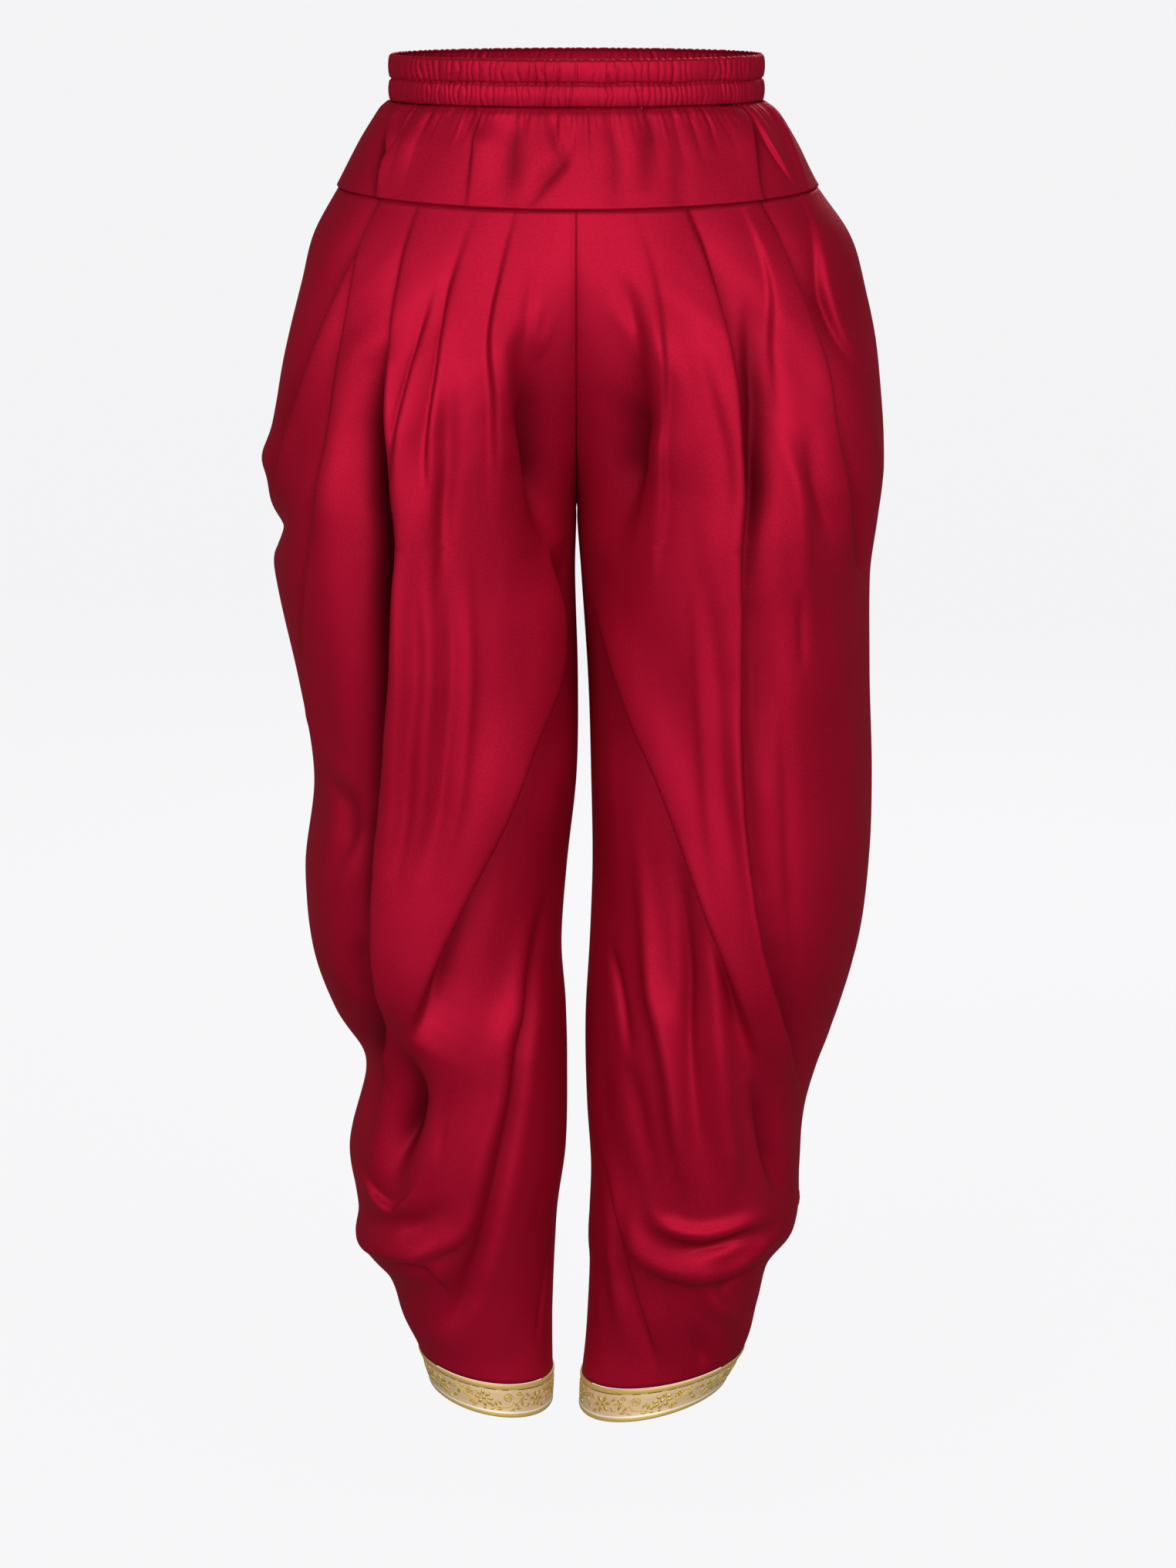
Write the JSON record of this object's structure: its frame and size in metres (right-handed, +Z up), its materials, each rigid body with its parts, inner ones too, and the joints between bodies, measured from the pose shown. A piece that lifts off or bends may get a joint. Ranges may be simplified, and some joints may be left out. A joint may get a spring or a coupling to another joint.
{
  "type": "dhoti pants",
  "caption": "Draped satin dhoti pants with an elastic gathered waistband, a fitted yoke, wide pleated legs that narrow to slouched cuffs, and a woven gold border round each cuff.",
  "frame": {"origin": "centre of the waist ring, half way up the waistband, where the wearer's waist holds the garment", "axes": "+Z up out of the waist, -Y towards the shown side, taken as the front, +X towards the wearer's left"},
  "size_m": [0.4405, 0.3048, 0.988],
  "materials": {
    "satin": "deep crimson satin with a soft broad sheen",
    "gold_border": "woven gold brocade ribbon with small flowers, leaves and tendrils"
  },
  "bodies": {
    "root": {"waistband": "satin", "yoke_front": "satin", "yoke_back": "satin", "leg_right_front": "satin", "leg_right_back": "satin", "leg_left_front": "satin", "leg_left_back": "satin", "border_right": "gold_border", "border_left": "gold_border"}
  },
  "joints": []
}
